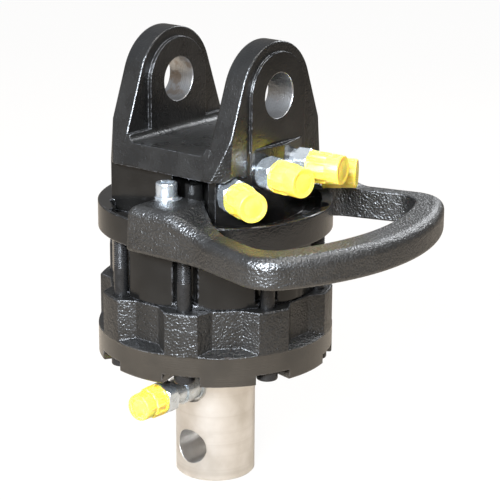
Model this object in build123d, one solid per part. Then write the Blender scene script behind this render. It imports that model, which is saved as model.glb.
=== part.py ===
from build123d import *
import os
from math import cos, radians, sin, sqrt, tan

# Hydraulic rotator for a crane or grapple, in millimetres.
# The origin is the middle of the clevis bore. X runs along the clevis pin, Z points up,
# and the output shaft hangs down the Z axis.

# Clevis ears of the upper head
clevis_bore_diameter = 38.0
clevis_gap = 81.0
ear_thickness = 26.1
ear_head_radius = 46.0
ear_head_drop = 1.6
ear_flare_angle = 20.5
pad_step = 2.5
inner_pad_step = 3.4
pad_half_width = 36.0
ear_edge_radius = 1.5
gap_floor_depth = 43.5
gap_corner_radius = 6.0

# Block of the upper head below the ears
ear_turned_radius = 86.0
ear_turned_depth = 22.0
block_turned_radius = 88.5
cast_skirt_depth = 62.0
side_facing = 62.8
port_boss_top_depth = 40.0
port_boss_half_width = 35.0
port_boss_slope_width = 57.0

# Flange of the upper head
flange_top_depth = 96.5
flange_thickness = 24.2
flange_edge_width = 10.2
flange_edge_chamfer = 1.0
recess_depth = 8.5
flange_rim_width = 9.7
recess_start_radius = 55.0
front_recess_half_angle = 58.0
side_recess_angles = (100.0, 133.0)
bolt_pocket_radius = 8.5

# Housing bolts
bolt_count = 8
bolt_radius = 6.0
bolt_head_radius = 9.0
bolt_head_height = 12.0
bolt_head_clearance = 1.0
screw_head_chamfer = 0.8
bolt_socket_flats = 10.0
bolt_socket_depth = 6.0
bolt_length = 120.0
bolt_hole_clearance = 0.5
bolt_tip_chamfer = 1.2

# Stator ring with the cam for the vanes
stator_height = 49.3
stator_wall = 6.0
stator_inset = 1.5
flute_radius = 11.0
stator_foot_height = 4.0
stator_foot_notch_radius = 7.0
pocket_count = 4
pocket_depth = 6.5
pocket_half_angle = 28.0
pocket_ramp_angle = 9.0
pocket_ramp_overrun = 2.0

# Lower cover
cover_height = 62.4
cover_edge_width = 11.2
notch_height = 8.7
notch_half_angle = 9.2
notch_reach = 11.5
scallop_half_angle = 14.5
scallop_depth = 11.0
scallop_flat_half_width = 12.3
scallop_ledge_height = 30.0
scallop_ledge_drop = 5.0
seat_depth = 12.2

# Output shaft with the vane drum forged on
shaft_diameter = 69.5
shaft_reach = 112.6
shaft_chamfer = 1.5
cross_hole_diameter = 30.5
cross_hole_above_end = 30.0
drum_radius = 66.2
drum_end_clearance = 0.1
journal_diameter = 52.0
journal_top_depth = 54.0
race_collar_radius = 41.9
race_collar_height = 4.5
channel_radius = 4.5
channel_offset = 14.0
channel_plug_length = 8.0

# Vanes
vane_count = 8
vane_thickness = 5.9
vane_length = 20.0
vane_side_clearance = 0.05
vane_tip_inset = 0.1
slot_floor_radius = 42.0

# Thrust bearing in the lower cover
race_inner_radius = 42.1
race_outer_radius = 64.0
race_thickness = 6.0
ball_count = 14
ball_radius = 7.5
ball_circle_radius = 53.0
groove_depth = 2.4
ball_clearance = 0.3
cage_thickness = 5.0
cage_inner_radius = 43.5
cage_outer_radius = 62.5
bearing_pocket_clearance = 1.0

# Journal bushes, swivel seals and thrust washer in the head
running_clearance = 0.05
open_clearance = 0.3
journal_bush_radius = 31.0
upper_bush_length = 11.0
lower_bush_length = 16.0
lower_bush_gap = 4.7
swivel_pitch = 5.0
first_seal_gap = 3.0
swivel_seal_height = 3.0
swivel_seal_radius = 29.0
gallery_height = 4.0
gallery_depth = 3.0
gallery_drill_radius = 3.0
washer_thickness = 3.0
washer_radius = 44.0

# Bush, seal and wiper in the lower cover
shaft_bush_radius = 39.75
shaft_bush_length = 19.0
shaft_seal_radius = 45.0
shaft_seal_height = 9.0
wiper_height = 6.0
wiper_radius = 44.0
wiper_recess = 0.5
cover_shelf = 1.0

# O-rings and dowels between head, stator and cover
oring_inset = 3.2
oring_section_radius = 1.5
oring_clearance = 0.1
dowel_radius = 4.0
dowel_inset = 6.5
dowel_depth = 10.0
dowel_clearance = 0.05
dowel_end_gap = 1.0

# Port fittings: seal washer, hexagon adaptor and pull-off dust cap
port_thread_radius = 10.5
port_facing_radius = 16.5
port_thread_depth = 15.0
stud_clearance = 0.1
stud_length = 12.0
seal_washer_thickness = 2.0
seal_washer_radius = 13.2
seal_washer_bore_clearance = 0.2
adaptor_collar_length = 1.5
adaptor_hex_flats = 27.0
adaptor_hex_length = 12.0
adaptor_corner_trim = 0.4
adaptor_chamfer = 1.2
adaptor_nose_radius = 10.0
adaptor_nose_length = 14.0
adaptor_bore_radius = 5.5
cap_length = 29.0
cap_base_radius = 13.8
cap_end_radius = 12.4
cap_rim_height = 1.5
cap_body_taper = 0.5
cap_step = 0.4
cap_end_rounding = 1.0
cap_fit_clearance = 0.3
cap_wall_end = 3.0
# Upper ports: direction of the axis, distance of the flat from the rotor axis,
# sideways offset along that flat, and depth below the clevis bore
middle_port_angle = 10.9
middle_port_distance = 71.4
middle_port_offset = 5.4
middle_port_depth = 61.0
outer_port_angle = 29.0
outer_port_distance = 74.5
outer_port_offset = 15.9
outer_port_depth = 75.0
lower_port_below_cover = 26.0
spot_face_radius = 15.0
spot_face_distance = 30.5
shank_wide_radius = 12.3
shank_wide_length = 17.5
shank_narrow_radius = 10.8
shank_narrow_length = 15.5
lower_cap_length = 25.0

# Plug beside the guard screw
plug_x = 18.0
plug_y = -51.0
plug_radius = 7.5
plug_height = 17.0
plug_flange_radius = 9.2
plug_flange_height = 2.0
plug_socket_flats = 8.0
plug_stud_radius = 5.0
plug_stud_length = 8.0
plug_boss_radius = 10.0
plug_boss_height = 8.0
plug_pocket_rear_x = 5.0
plug_pocket_front_x = 43.0
plug_pocket_depth = 21.0

# Hose guard
guard_height = 25.2
guard_apex_inner = 165.5
guard_apex_outer = 192.0
guard_inner_radius = 200.0
guard_outer_radius = 205.0
guard_inner_corner_radius = 22.0
guard_outer_corner_radius = 31.0
guard_top_rounding = 9.0
guard_bottom_rounding = 3.5
lug_rear_x = -6.0
lug_front_x = 36.0
lug_block_clearance = 0.4
lug_wall = 9.5
leg_inner_x = 69.0
leg_inner_y = 88.0
leg_inner_angle = 16.5
leg_outer_x = 66.0
leg_outer_angle = 14.5
leg_outer_blend = 60.0
lug_height = 15.0
lug_slope_start_x = 39.0
lug_slope_end_x = 82.0
lug_crest_blend = 14.0
lug_toe_blend = 24.0
lug_rear_draft = 2.5
lug_rear_rounding = 4.0
guard_flange_clearance = 0.3
guard_screw_x = 7.5
guard_screw_inset = 9.8
guard_screw_radius = 6.0
guard_screw_head_radius = 9.0
guard_screw_head_height = 13.5
guard_screw_flange_radius = 9.9
guard_screw_flange_height = 1.8
guard_screw_reach = 16.0

# Levels along the Z axis, from top to bottom
flange_top = -flange_top_depth
flange_bottom = flange_top - flange_thickness
stator_bottom = flange_bottom - stator_height
cover_bottom = stator_bottom - cover_height
shaft_end = cover_bottom - shaft_reach
recess_floor = flange_top - recess_depth
bolt_seat = cover_bottom + seat_depth
bolt_tip = bolt_seat + bolt_length
journal_top = -journal_top_depth
head_bore_top = journal_top + 1.0
upper_bush_bottom = journal_top - upper_bush_length
first_seal_level = upper_bush_bottom - first_seal_gap
lower_bush_bottom = flange_bottom + washer_thickness + lower_bush_gap
lower_bush_top = lower_bush_bottom + lower_bush_length
drum_top = flange_bottom - drum_end_clearance
drum_bottom = stator_bottom + drum_end_clearance
upper_race_bottom = drum_bottom - race_thickness
ball_level = upper_race_bottom - (ball_radius - groove_depth)
lower_race_top = ball_level - (ball_radius - groove_depth)
lower_race_bottom = lower_race_top - race_thickness
cross_hole_level = shaft_end + cross_hole_above_end
lower_port_level = cover_bottom - lower_port_below_cover
shaft_bush_top = lower_race_bottom - cover_shelf
shaft_bush_bottom = shaft_bush_top - shaft_bush_length
shaft_seal_bottom = cover_bottom + wiper_height + cover_shelf

# Widths and radii that follow from the sizes above
ear_outer = clevis_gap / 2 + ear_thickness
border_outer = ear_outer - pad_step
border_inner = clevis_gap / 2 + inner_pad_step
shaft_radius = shaft_diameter / 2
journal_radius = journal_diameter / 2
cam_land_radius = drum_radius + open_clearance
cam_pocket_radius = cam_land_radius + pocket_depth
bolt_circle_radius = cam_pocket_radius + stator_wall + flute_radius
flange_radius = bolt_circle_radius + flange_edge_width
recess_radius = flange_radius - flange_rim_width
stator_radius = bolt_circle_radius - stator_inset
cover_radius = bolt_circle_radius + cover_edge_width
notch_inner_radius = bolt_circle_radius - notch_reach
dowel_circle_radius = bolt_circle_radius - dowel_inset
oring_radius = cam_pocket_radius + oring_inset
bearing_pocket_radius = race_outer_radius + bearing_pocket_clearance
scallop_back = cover_radius - scallop_depth
lug_inner_y = side_facing + lug_block_clearance
lug_outer_y = flange_radius + guard_flange_clearance + lug_wall
guard_screw_y = lug_inner_y + guard_screw_inset
stock_reach = 2 * block_turned_radius
bolt_angles = [360 / bolt_count * (k + 0.5) for k in range(bolt_count)]
scallop_angles = [360 / bolt_count * k for k in range(bolt_count)]
vane_angles = [360 / vane_count * (k + 0.5) for k in range(vane_count)]
recess_sectors = [
    (-front_recess_half_angle, front_recess_half_angle),
    side_recess_angles,
    (-side_recess_angles[1], -side_recess_angles[0]),
]
lug_top = flange_top + lug_height
middle_port = (middle_port_angle, middle_port_distance, middle_port_offset, middle_port_depth)
outer_port = (outer_port_angle, outer_port_distance, outer_port_offset, outer_port_depth)


def save(shape, name):
    """Write one named piece."""
    export_step(shape, f"parts/{name}.step")


def group(solids):
    """Keep like pieces together as separate solids."""
    return Compound(children=list(solids))


def polar(radius, angle):
    """Point on a circle about the rotor axis."""
    return (radius * cos(radians(angle)), radius * sin(radians(angle)))


def upright(radius, low, high, place=(0, 0)):
    """Round bar standing between two levels."""
    bar = Cylinder(radius, high - low, align=(Align.CENTER, Align.CENTER, Align.MIN))
    return Pos(place[0], place[1], low) * bar


def ring(inner, outer, low, high):
    """Flat ring about the rotor axis."""
    return upright(outer, low, high) - upright(inner, low - 1, high + 1)


def block(x_low, x_high, y_low, y_high, z_low, z_high):
    """Rectangular block between its corners."""
    box = Box(x_high - x_low, y_high - y_low, z_high - z_low, align=(Align.MIN, Align.MIN, Align.MIN))
    return Pos(x_low, y_low, z_low) * box


def slab(profile, x_low, x_high):
    """A profile drawn in Y and Z, thickened along X."""
    return Pos(x_low, 0, 0) * extrude(Plane.YZ * profile, amount=x_high - x_low)


def sector(inner, outer, start, end, low, high):
    """Part of a flat ring between two angles."""
    middle = (start + end) / 2
    outline = [
        Line(polar(inner, start), polar(outer, start)),
        ThreePointArc(polar(outer, start), polar(outer, middle), polar(outer, end)),
        Line(polar(outer, end), polar(inner, end)),
        ThreePointArc(polar(inner, end), polar(inner, middle), polar(inner, start)),
    ]
    return Pos(0, 0, low) * extrude(make_face(outline), amount=high - low)


def around(solid, angles):
    """Copies of a solid turned about the rotor axis."""
    return [Rot(0, 0, angle) * solid for angle in angles]


def outward(solid, angle, distance, offset, level):
    """Put a solid made along +Z on a flat whose normal points out at an angle."""
    foot = Vector(distance, offset, 0).rotate(Axis.Z, angle)
    return Pos(foot.X, foot.Y, level) * (Rot(0, 0, angle) * (Rot(0, 90, 0) * solid))


def ear_profile(low):
    """Round-headed ear that widens downwards, seen along the clevis pin."""
    side_y = ear_head_radius * cos(radians(ear_flare_angle))
    side_z = ear_head_radius * sin(radians(ear_flare_angle)) - ear_head_drop
    foot_y = side_y + (side_z - low) * tan(radians(ear_flare_angle))
    outline = [
        ThreePointArc((-side_y, side_z), (0, ear_head_radius - ear_head_drop), (side_y, side_z)),
        Line((side_y, side_z), (foot_y, low)),
        Line((foot_y, low), (-foot_y, low)),
        Line((-foot_y, low), (-side_y, side_z)),
    ]
    return make_face(outline)


def arch_profile(low):
    """Raised pad round the clevis bore, with an arched top."""
    legs = Pos(0, low / 2) * Rectangle(2 * pad_half_width, -low)
    return legs + Circle(pad_half_width)


def clevis_ear():
    """One ear on the +X side, with a raised pad on each face."""
    low = -cast_skirt_depth
    plate = slab(ear_profile(low), border_inner, border_outer)
    plate = fillet(plate.faces().filter_by(Axis.X).edges(), ear_edge_radius)
    outer_pad = slab(arch_profile(low), border_outer - 1, ear_outer)
    inner_pad = slab(arch_profile(low), clevis_gap / 2, border_inner + 1)
    return plate + outer_pad + inner_pad


def corner_fillet():
    """Rounded foot between the gap floor and an ear on the +X side."""
    x_wall = clevis_gap / 2
    corner = block(x_wall - gap_corner_radius, border_inner + 1, -stock_reach, stock_reach,
                   -gap_floor_depth - 1, -gap_floor_depth + gap_corner_radius)
    hollow = Rot(90, 0, 0) * Cylinder(gap_corner_radius, 2 * stock_reach)
    hollow = Pos(x_wall - gap_corner_radius, 0, -gap_floor_depth + gap_corner_radius) * hollow
    shape = slab(ear_profile(-cast_skirt_depth), 0, border_inner + 1)
    return (corner - hollow) & shape


def port_flats(angle, distance):
    """Stock that lies outside a port flat and is machined away."""
    stock = Box(stock_reach, 2 * stock_reach, 2 * stock_reach, align=(Align.MIN, Align.CENTER, Align.CENTER))
    return Rot(0, 0, angle) * (Pos(distance, 0, 0) * stock)


def head_block():
    """Body of the head between the ears and the flange, with the port boss on +X."""
    skirt = slab(ear_profile(-cast_skirt_depth), -border_outer, border_outer)
    skirt = skirt & block(-stock_reach, stock_reach, -stock_reach, stock_reach,
                          -cast_skirt_depth, -gap_floor_depth)
    low = recess_floor - 1
    waist = block(-ear_outer, block_turned_radius, -side_facing, side_facing, low, -cast_skirt_depth)
    boss_outline = Polyline(
        (-port_boss_half_width, -port_boss_top_depth),
        (port_boss_half_width, -port_boss_top_depth),
        (port_boss_slope_width, -cast_skirt_depth),
        (-port_boss_slope_width, -cast_skirt_depth),
        (-port_boss_half_width, -port_boss_top_depth),
    )
    boss = slab(make_face(boss_outline), clevis_gap / 2, block_turned_radius)
    body = waist + boss
    for sign in (-1, 1):
        body -= port_flats(sign * middle_port[0], middle_port[1])
        body -= port_flats(sign * outer_port[0], outer_port[1])
    return skirt + body


def turned_envelope():
    """Round stock that the head is turned from, tapered beside the ears."""
    outline = Polyline(
        (0, recess_floor - 1), (block_turned_radius, recess_floor - 1),
        (block_turned_radius, -cast_skirt_depth), (ear_turned_radius, -ear_turned_depth),
        (ear_turned_radius, ear_head_radius + 1), (0, ear_head_radius + 1), (0, recess_floor - 1),
    )
    return revolve(make_face(Plane.XZ * outline), Axis.Z)


def flange():
    """Round bolting flange with its recesses, bolt pockets and tapped holes."""
    disc = upright(flange_radius, flange_bottom, flange_top)
    disc = chamfer(disc.edges().filter_by(GeomType.CIRCLE), flange_edge_chamfer)
    for start, end in recess_sectors:
        disc -= sector(recess_start_radius, recess_radius, start, end, recess_floor, flange_top + 1)
    for angle in bolt_angles:
        turn = angle if angle <= 180 else angle - 360
        place = polar(bolt_circle_radius, turn)
        if any(start < turn < end for start, end in recess_sectors):
            disc -= upright(bolt_pocket_radius, recess_floor, flange_top + 1, place)
        disc -= upright(bolt_radius + running_clearance, flange_bottom - 1, bolt_tip + 1.5, place)
    return disc


def oring_groove(level, sign):
    """Groove for an O-ring, cut from a joint face upwards or downwards."""
    depth = 2 * oring_section_radius + oring_clearance
    half = oring_section_radius + oring_clearance
    low, high = sorted((level, level + sign * depth))
    return ring(oring_radius - half, oring_radius + half, low, high)


def upper_head():
    """Cast head: clevis ears, port boss and bolting flange in one piece."""
    ears = clevis_ear() + mirror(clevis_ear(), about=Plane.YZ)
    feet = corner_fillet() + mirror(corner_fillet(), about=Plane.YZ)
    body = (ears + feet + head_block()) & turned_envelope()
    plug_floor = flange_top + plug_boss_height
    pocket = block(plug_pocket_rear_x, plug_pocket_front_x, -side_facing - 1,
                   -side_facing + plug_pocket_depth, flange_top, -cast_skirt_depth)
    body -= pocket
    body += flange()
    body += upright(plug_boss_radius, flange_top - 1, plug_floor, (plug_x, plug_y))
    body -= Rot(0, 90, 0) * Cylinder(clevis_bore_diameter / 2, 3 * ear_outer)
    body -= upright(journal_radius + open_clearance, flange_bottom - 1, head_bore_top)
    body -= upright(journal_bush_radius, upper_bush_bottom, head_bore_top)
    body -= upright(journal_bush_radius, flange_bottom - 1, lower_bush_top)
    body -= upright(washer_radius + open_clearance, flange_bottom - 1, flange_bottom + washer_thickness)
    for index in range(3):
        level = swivel_level(2 * index)
        body -= upright(swivel_seal_radius, level - swivel_seal_height / 2, level + swivel_seal_height / 2)
    for index, sign in ((1, -1), (3, 1)):
        level = swivel_level(index)
        body -= upright(swivel_seal_radius, level - gallery_height / 2, level + gallery_height / 2)
        drill = upright(gallery_drill_radius, -outer_port_distance, 0)
        body -= outward(drill, sign * outer_port_angle, outer_port_distance, sign * outer_port_offset, level)
    tapping = Pos(0, 0, -port_thread_depth) * upright(port_thread_radius, 0, port_thread_depth + 1)
    facing = upright(port_facing_radius, 0, stock_reach)
    for placement in upper_port_places():
        body -= outward(facing, *placement)
        body -= outward(tapping, *placement)
    screw_hole = upright(guard_screw_radius + running_clearance, flange_top - guard_screw_reach - 1,
                         flange_top + 1)
    for sign in (-1, 1):
        body -= Pos(guard_screw_x, sign * guard_screw_y, 0) * screw_hole
    body -= upright(plug_stud_radius + running_clearance, plug_floor - plug_stud_length - 2,
                    plug_floor + 1, (plug_x, plug_y))
    body -= oring_groove(flange_bottom, 1)
    for angle in (0, 180):
        body -= upright(dowel_radius + dowel_clearance, flange_bottom - 1, flange_bottom + dowel_depth,
                        polar(dowel_circle_radius, angle))
    return body


def swivel_level(index):
    """Level of a seal (even index) or an oil gallery (odd index) round the journal."""
    return first_seal_level - index * swivel_pitch


def upper_port_places():
    """Angle, distance, sideways offset and level of the four upper ports."""
    places = []
    for angle, distance, offset, depth in (outer_port, middle_port):
        for sign in (-1, 1):
            places.append((sign * angle, distance, sign * offset, -depth))
    return places


def lower_port_places():
    """Angle, distance, sideways offset and level of the two ports in the shaft."""
    return [(angle, spot_face_distance, 0, lower_port_level) for angle in (-90, 90)]


def stator_ring():
    """Ring that closes the vane chambers, fluted outside for the bolts."""
    body = upright(stator_radius, stator_bottom, flange_bottom)
    flute = upright(flute_radius, stator_bottom + stator_foot_height, flange_bottom + 1,
                    (bolt_circle_radius, 0))
    notch = upright(stator_foot_notch_radius, stator_bottom - 1, flange_bottom + 1,
                    (bolt_circle_radius, 0))
    for angle in bolt_angles:
        body -= Rot(0, 0, angle) * flute
        body -= Rot(0, 0, angle) * notch
    body -= upright(cam_land_radius, stator_bottom - 1, flange_bottom + 1)
    ramp = pocket_half_angle + pocket_ramp_angle
    ramp_radius = cam_land_radius - pocket_ramp_overrun
    outline = [
        Line(polar(ramp_radius, -ramp), polar(cam_pocket_radius, -pocket_half_angle)),
        ThreePointArc(polar(cam_pocket_radius, -pocket_half_angle), (cam_pocket_radius, 0),
                      polar(cam_pocket_radius, pocket_half_angle)),
        Line(polar(cam_pocket_radius, pocket_half_angle), polar(ramp_radius, ramp)),
        Line(polar(ramp_radius, ramp), polar(ramp_radius, -ramp)),
    ]
    pocket = Pos(0, 0, stator_bottom - 1) * extrude(make_face(outline), amount=stator_height + 2)
    for index in range(pocket_count):
        body -= Rot(0, 0, 360 / pocket_count * index) * pocket
    for angle in (0, 180):
        body -= upright(dowel_radius + dowel_clearance, stator_bottom - 1, flange_bottom + 1,
                        polar(dowel_circle_radius, angle))
    return body


def scallop():
    """Stock removed from the cover's side between two bolts, open at the top."""
    run = 3 * scallop_depth
    edge = cover_radius * sin(radians(scallop_half_angle))
    depth = cover_radius * cos(radians(scallop_half_angle)) - scallop_back
    slope = (edge - scallop_flat_half_width) / depth
    wide = scallop_flat_half_width + run * slope
    plan = make_face(Polyline(
        (scallop_back, -scallop_flat_half_width), (scallop_back + run, -wide),
        (scallop_back + run, wide), (scallop_back, scallop_flat_half_width),
        (scallop_back, -scallop_flat_half_width),
    ))
    ledge = cover_bottom + scallop_ledge_height
    fall = scallop_ledge_drop / scallop_depth * run
    side = make_face(Plane.XZ * Polyline(
        (scallop_back, ledge), (scallop_back + run, ledge - fall),
        (scallop_back + run, stator_bottom + 1), (scallop_back, stator_bottom + 1),
        (scallop_back, ledge),
    ))
    column = Pos(0, 0, cover_bottom) * extrude(plan, amount=cover_height + 2)
    return column & extrude(side, amount=2 * wide, both=True)


def lower_cover():
    """Cast cover that carries the thrust bearing, bush and seals."""
    body = upright(cover_radius, cover_bottom, stator_bottom)
    body = chamfer(body.edges().filter_by(GeomType.CIRCLE), flange_edge_chamfer)
    cut = scallop()
    for angle in scallop_angles:
        body -= Rot(0, 0, angle) * cut
    notch = sector(notch_inner_radius, cover_radius + 5, -notch_half_angle, notch_half_angle,
                   cover_bottom - 1, cover_bottom + notch_height)
    seat = upright(bolt_head_radius + bolt_head_clearance, cover_bottom - 1, bolt_seat,
                   (bolt_circle_radius, 0))
    hole = upright(bolt_radius + bolt_hole_clearance, cover_bottom, stator_bottom + 1,
                   (bolt_circle_radius, 0))
    for angle in bolt_angles:
        body -= Rot(0, 0, angle) * notch
        body -= Rot(0, 0, angle) * seat
        body -= Rot(0, 0, angle) * hole
    body -= upright(bearing_pocket_radius, lower_race_bottom, stator_bottom + 1)
    body -= upright(shaft_bush_radius, shaft_bush_bottom, lower_race_bottom + 1)
    body -= upright(shaft_radius + open_clearance, cover_bottom - 1, stator_bottom)
    body -= upright(shaft_seal_radius, shaft_seal_bottom, shaft_seal_bottom + shaft_seal_height)
    body -= upright(wiper_radius, cover_bottom - 1, shaft_seal_bottom)
    body -= oring_groove(stator_bottom, -1)
    for angle in (0, 180):
        body -= upright(dowel_radius + dowel_clearance, stator_bottom - dowel_depth, stator_bottom + 1,
                        polar(dowel_circle_radius, angle))
    return body


def hexagon(flats, low, high):
    """Hexagonal bar between two levels."""
    across = RegularPolygon(flats / 2, 6, major_radius=False)
    return Pos(0, 0, low) * extrude(across, amount=high - low)


def housing_bolt():
    """Socket head bolt that clamps cover, stator and head together."""
    shank = upright(bolt_radius, bolt_seat, bolt_tip)
    shank = chamfer(shank.edges().sort_by(Axis.Z)[-1], bolt_tip_chamfer)
    head = upright(bolt_head_radius, bolt_seat - bolt_head_height, bolt_seat)
    head = chamfer(head.edges().sort_by(Axis.Z)[0], screw_head_chamfer)
    socket = hexagon(bolt_socket_flats, bolt_seat - bolt_head_height - 1,
                     bolt_seat - bolt_head_height + bolt_socket_depth)
    return Pos(bolt_circle_radius, 0, 0) * (shank + head - socket)


def output_shaft():
    """Forged shaft: swivel journal on top, vane drum, collar and the pinned spigot."""
    body = upright(journal_radius, drum_top - 1, journal_top)
    body += upright(drum_radius, drum_bottom, drum_top)
    body += upright(race_collar_radius, drum_bottom - race_collar_height, drum_bottom + 1)
    spigot = upright(shaft_radius, shaft_end, drum_bottom)
    body += chamfer(spigot.edges().sort_by(Axis.Z)[0], shaft_chamfer)
    slot_width = vane_thickness + 2 * vane_side_clearance
    slot = block(slot_floor_radius, drum_radius + 5, -slot_width / 2, slot_width / 2,
                 drum_bottom, drum_top + 1)
    for angle in vane_angles:
        body -= Rot(0, 0, angle) * slot
    for index, sign in ((1, -1), (3, 1)):
        level = swivel_level(index)
        body -= ring(journal_radius - gallery_depth, journal_radius + 1,
                     level - gallery_height / 2, level + gallery_height / 2)
        drill = Rot(90, 0, 0) * upright(gallery_drill_radius, channel_offset, journal_radius)
        body -= Pos(0, 0, level) * (drill if sign < 0 else mirror(drill, about=Plane.XZ))
        body -= upright(channel_radius, lower_port_level, journal_top + 1, (0, sign * channel_offset))
    for placement in lower_port_places():
        body -= outward(upright(spot_face_radius, 0, shaft_radius), *placement)
        tapping = Pos(0, 0, -port_thread_depth) * upright(port_thread_radius, 0, port_thread_depth + 1)
        body -= outward(tapping, *placement)
    cross_hole = Rot(90, 0, 0) * Cylinder(cross_hole_diameter / 2, 2 * shaft_diameter)
    return body - Pos(0, 0, cross_hole_level) * cross_hole


def vane():
    """Sliding vane with a rounded tip, drawn in its slot along +X and pulled right in."""
    tip = drum_radius - vane_tip_inset
    plate = block(tip - vane_length, tip, -vane_thickness / 2, vane_thickness / 2,
                  stator_bottom + 1.5 * drum_end_clearance, flange_bottom - 1.5 * drum_end_clearance)
    edges = plate.edges().filter_by(Axis.Z).group_by(Axis.X)[-1]
    return fillet(edges, 0.45 * vane_thickness)


def ball_groove(level):
    """Track that a ball ring leaves in a race."""
    return Pos(0, 0, level) * Torus(ball_circle_radius, ball_radius + ball_clearance)


def bearing_race(low):
    """Bearing race with its ball track, standing on a level."""
    return ring(race_inner_radius, race_outer_radius, low, low + race_thickness) - ball_groove(ball_level)


def ball_cage():
    """Flat ring that keeps the balls apart."""
    body = ring(cage_inner_radius, cage_outer_radius, ball_level - cage_thickness / 2,
                ball_level + cage_thickness / 2)
    hole = upright(ball_radius + ball_clearance, ball_level - cage_thickness, ball_level + cage_thickness,
                   (ball_circle_radius, 0))
    for index in range(ball_count):
        body -= Rot(0, 0, 360 / ball_count * index) * hole
    return body


def thrust_balls():
    """Balls that carry the hanging load."""
    ball = Pos(ball_circle_radius, 0, ball_level) * Sphere(ball_radius)
    return group(around(ball, [360 / ball_count * index for index in range(ball_count)]))


def seal_washer():
    """Bonded washer under a port adaptor, lying on its flat."""
    bore = port_thread_radius + seal_washer_bore_clearance
    return ring(bore, seal_washer_radius, 0, seal_washer_thickness)


def adaptor(shank_steps):
    """Port adaptor along +Z: threaded stud, round shank steps, hexagon and nose."""
    level = seal_washer_thickness
    body = upright(port_thread_radius - stud_clearance, -stud_length, level)
    for radius, length in shank_steps:
        body += upright(radius, level, level + length)
        level += length
    nut = hexagon(adaptor_hex_flats, level, level + adaptor_hex_length)
    corner = adaptor_hex_flats / 2 / cos(radians(30))
    crown = upright(corner - adaptor_corner_trim, level, level + adaptor_hex_length)
    body += nut & chamfer(crown.edges().filter_by(GeomType.CIRCLE), adaptor_chamfer)
    level += adaptor_hex_length
    body += upright(adaptor_nose_radius, level, level + adaptor_nose_length)
    return body - upright(adaptor_bore_radius, -stud_length - 1, level + adaptor_nose_length + 1)


def dust_cap(length, level):
    """Plastic cap along +Z, pushed over the nose of an adaptor."""
    outline = Polyline(
        (0, level), (cap_base_radius, level), (cap_base_radius, level + cap_rim_height),
        (cap_base_radius - cap_body_taper, level + length / 2),
        (cap_end_radius + cap_step, level + length / 2 + cap_rim_height),
        (cap_end_radius, level + length - cap_end_rounding),
        (cap_end_radius - cap_end_rounding, level + length),
        (0, level + length), (0, level),
    )
    body = revolve(make_face(Plane.XZ * outline), Axis.Z)
    hollow = upright(adaptor_nose_radius + cap_fit_clearance, level - 1, level + length - cap_wall_end)
    return body - hollow


def fittings(places, shank_steps, length):
    """Seal washers, adaptors and caps for a set of ports."""
    cap_level = seal_washer_thickness + sum(step[1] for step in shank_steps) + adaptor_hex_length
    washers = [outward(seal_washer(), *place) for place in places]
    adaptors = [outward(adaptor(shank_steps), *place) for place in places]
    caps = [outward(dust_cap(length, cap_level), *place) for place in places]
    return group(washers), group(adaptors), group(caps)


def on_arc(centre, radius, y):
    """Point of the round front at a given distance from the middle plane."""
    return (centre + sqrt(radius ** 2 - y ** 2), y)


def meet(centre, radius, start, angle):
    """Where a leg line that starts at a point runs into the round front."""
    slope = tan(radians(angle))
    offset = start[1] - slope * (start[0] - centre)
    a = 1 + slope ** 2
    b = 2 * slope * offset
    c = offset ** 2 - radius ** 2
    reach = (-b + sqrt(b ** 2 - 4 * a * c)) / (2 * a)
    return (centre + reach, slope * reach + offset)


def near(corner, point):
    """Whether a corner lies at a point of the plan."""
    return abs(corner.X - point[0]) < 0.01 and abs(corner.Y - point[1]) < 0.01


def guard_plan():
    """Half of the guard seen from above, lug and loop, on the +Y side."""
    inner_arc = (guard_apex_inner - guard_inner_radius, guard_inner_radius)
    outer_arc = (guard_apex_outer - guard_outer_radius, guard_outer_radius)
    inner_start = (leg_inner_x, leg_inner_y)
    outer_start = (leg_outer_x, lug_outer_y)
    inner_corner = meet(*inner_arc, inner_start, leg_inner_angle)
    outer_corner = meet(*outer_arc, outer_start, leg_outer_angle)
    plan = make_face([
        Line((guard_apex_inner, 0), (guard_apex_outer, 0)),
        ThreePointArc((guard_apex_outer, 0), on_arc(*outer_arc, outer_corner[1] / 2), outer_corner),
        Line(outer_corner, outer_start),
        Line(outer_start, (lug_rear_x, lug_outer_y)),
        Line((lug_rear_x, lug_outer_y), (lug_rear_x, lug_inner_y)),
        Line((lug_rear_x, lug_inner_y), (lug_front_x, lug_inner_y)),
        Line((lug_front_x, lug_inner_y), inner_start),
        Line(inner_start, inner_corner),
        ThreePointArc(inner_corner, on_arc(*inner_arc, inner_corner[1] / 2), (guard_apex_inner, 0)),
    ])
    for corner, radius in ((inner_corner, guard_inner_corner_radius),
                           (outer_corner, guard_outer_corner_radius),
                           (outer_start, leg_outer_blend), (inner_start, lug_toe_blend)):
        plan = fillet([v for v in plan.vertices() if near(v, corner)], radius)
    return plan


def guard_side(low, top):
    """Side outline of the guard: high over the lug, then sloping down to the loop."""
    profile = make_face(Polyline(
        (lug_rear_x, low), (lug_rear_x + lug_rear_draft, lug_top), (lug_slope_start_x, lug_top),
        (lug_slope_end_x, top), (guard_apex_outer + 5, top), (guard_apex_outer + 5, low), (lug_rear_x, low),
    ))
    for corner, radius in (((lug_slope_start_x, lug_top), lug_crest_blend),
                           ((lug_slope_end_x, top), lug_toe_blend)):
        profile = fillet([v for v in profile.vertices() if near(v, corner)], radius)
    return Plane.XZ * profile


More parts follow.
